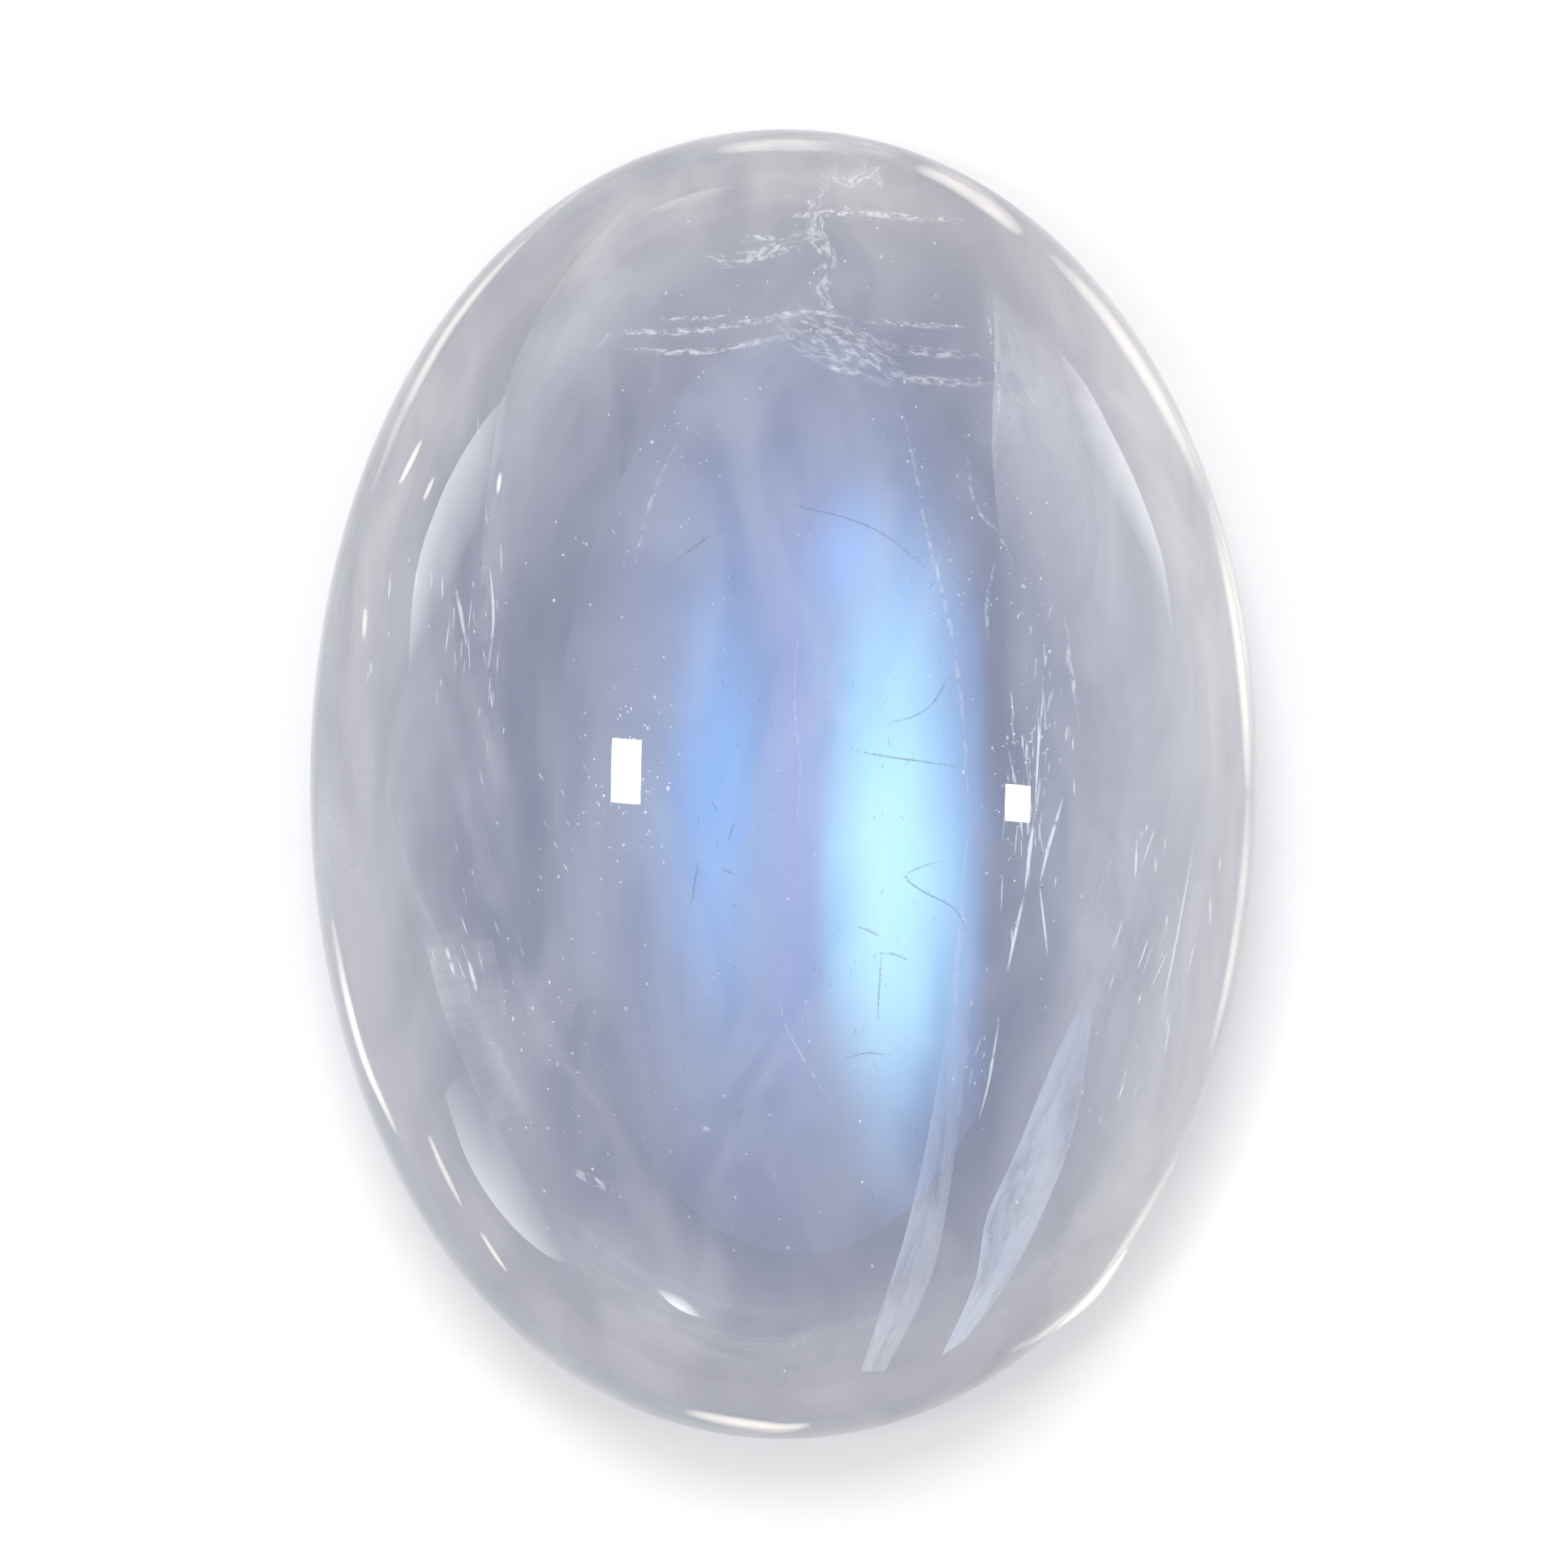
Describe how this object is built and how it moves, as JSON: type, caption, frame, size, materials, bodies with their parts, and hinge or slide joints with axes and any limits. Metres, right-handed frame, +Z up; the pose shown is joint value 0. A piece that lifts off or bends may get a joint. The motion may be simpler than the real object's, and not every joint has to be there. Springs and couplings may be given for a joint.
{
  "type": "polished moonstone cabochon",
  "caption": "Oval high-polish moonstone cabochon with a smooth dome, a milky see-through body and a blue inner glow, resting on the flat spot of its rounded back.",
  "frame": {"origin": "on the resting surface, under the middle of the stone, at the middle of the flat spot on its back", "axes": "+Z up through the crown of the dome, +Y along the length of the oval, +X across it"},
  "size_m": [0.0182, 0.025, 0.0076],
  "materials": {
    "moonstone": "polished"
  },
  "bodies": {
    "root": {"moonstone": "moonstone"}
  },
  "joints": []
}
